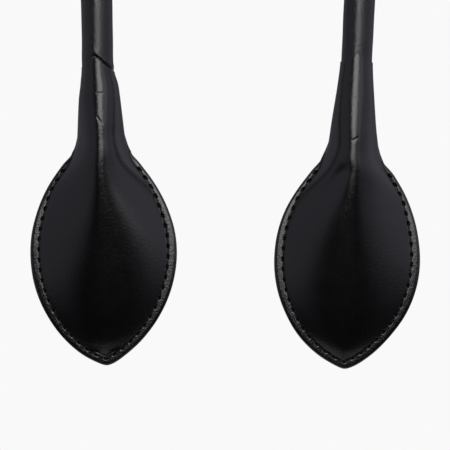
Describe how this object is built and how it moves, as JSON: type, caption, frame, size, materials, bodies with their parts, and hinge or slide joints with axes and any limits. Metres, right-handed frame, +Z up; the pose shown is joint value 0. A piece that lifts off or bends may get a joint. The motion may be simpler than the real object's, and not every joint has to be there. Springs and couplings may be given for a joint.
{
  "type": "rolled leather strap",
  "caption": "Glossy black rolled leather strap closing in an arch, with a padded, edge-stitched leaf-shaped tab sewn at each end of its flared necks.",
  "frame": {"origin": "on the strap's centreline at the crown of its arch, where a hand, hook or peg carries it", "axes": "+Z up, the way the tabs' points hang away from; the arch lies in the XZ plane; the tabs' domed fronts face -Y and their flat backs +Y; left and right are as seen from the front"},
  "size_m": [0.1249, 0.0131, 0.2774],
  "materials": {
    "black_leather": "glossy, fine-grained",
    "back_leather": "semi-matt, fine-grained",
    "thread": "waxed thread",
    "cord": "twisted cotton",
    "tape": "cloth tape",
    "felt": "pressed felt"
  },
  "bodies": {
    "strap": {"rolled_cover": "black_leather", "rope_core": "cord", "seam_stitching": "thread", "left_core_tape": "tape", "right_core_tape": "tape"},
    "left_tab": {"left_front_panel": "black_leather", "left_back_panel": "back_leather", "left_filler": "felt", "left_edge_stitching": "thread"},
    "right_tab": {"right_front_panel": "black_leather", "right_back_panel": "back_leather", "right_filler": "felt", "right_edge_stitching": "thread"}
  },
  "joints": [
    {"name": "left_neck_flex", "type": "hinge", "parent": "strap", "child": "left_tab", "pos_m": [-0.0419, 0, -0.19703], "axis": [0.9996, 0, 0.0279], "range_deg": [-60, 60], "stiffness_Nm_per_rad": 0.05, "deforming": ["left_front_panel", "left_back_panel"]},
    {"name": "right_neck_flex", "type": "hinge", "parent": "strap", "child": "right_tab", "pos_m": [0.03891, 0, -0.1996], "axis": [0.9989, 0, -0.0471], "range_deg": [-60, 60], "stiffness_Nm_per_rad": 0.05, "deforming": ["right_front_panel", "right_back_panel"]}
  ]
}
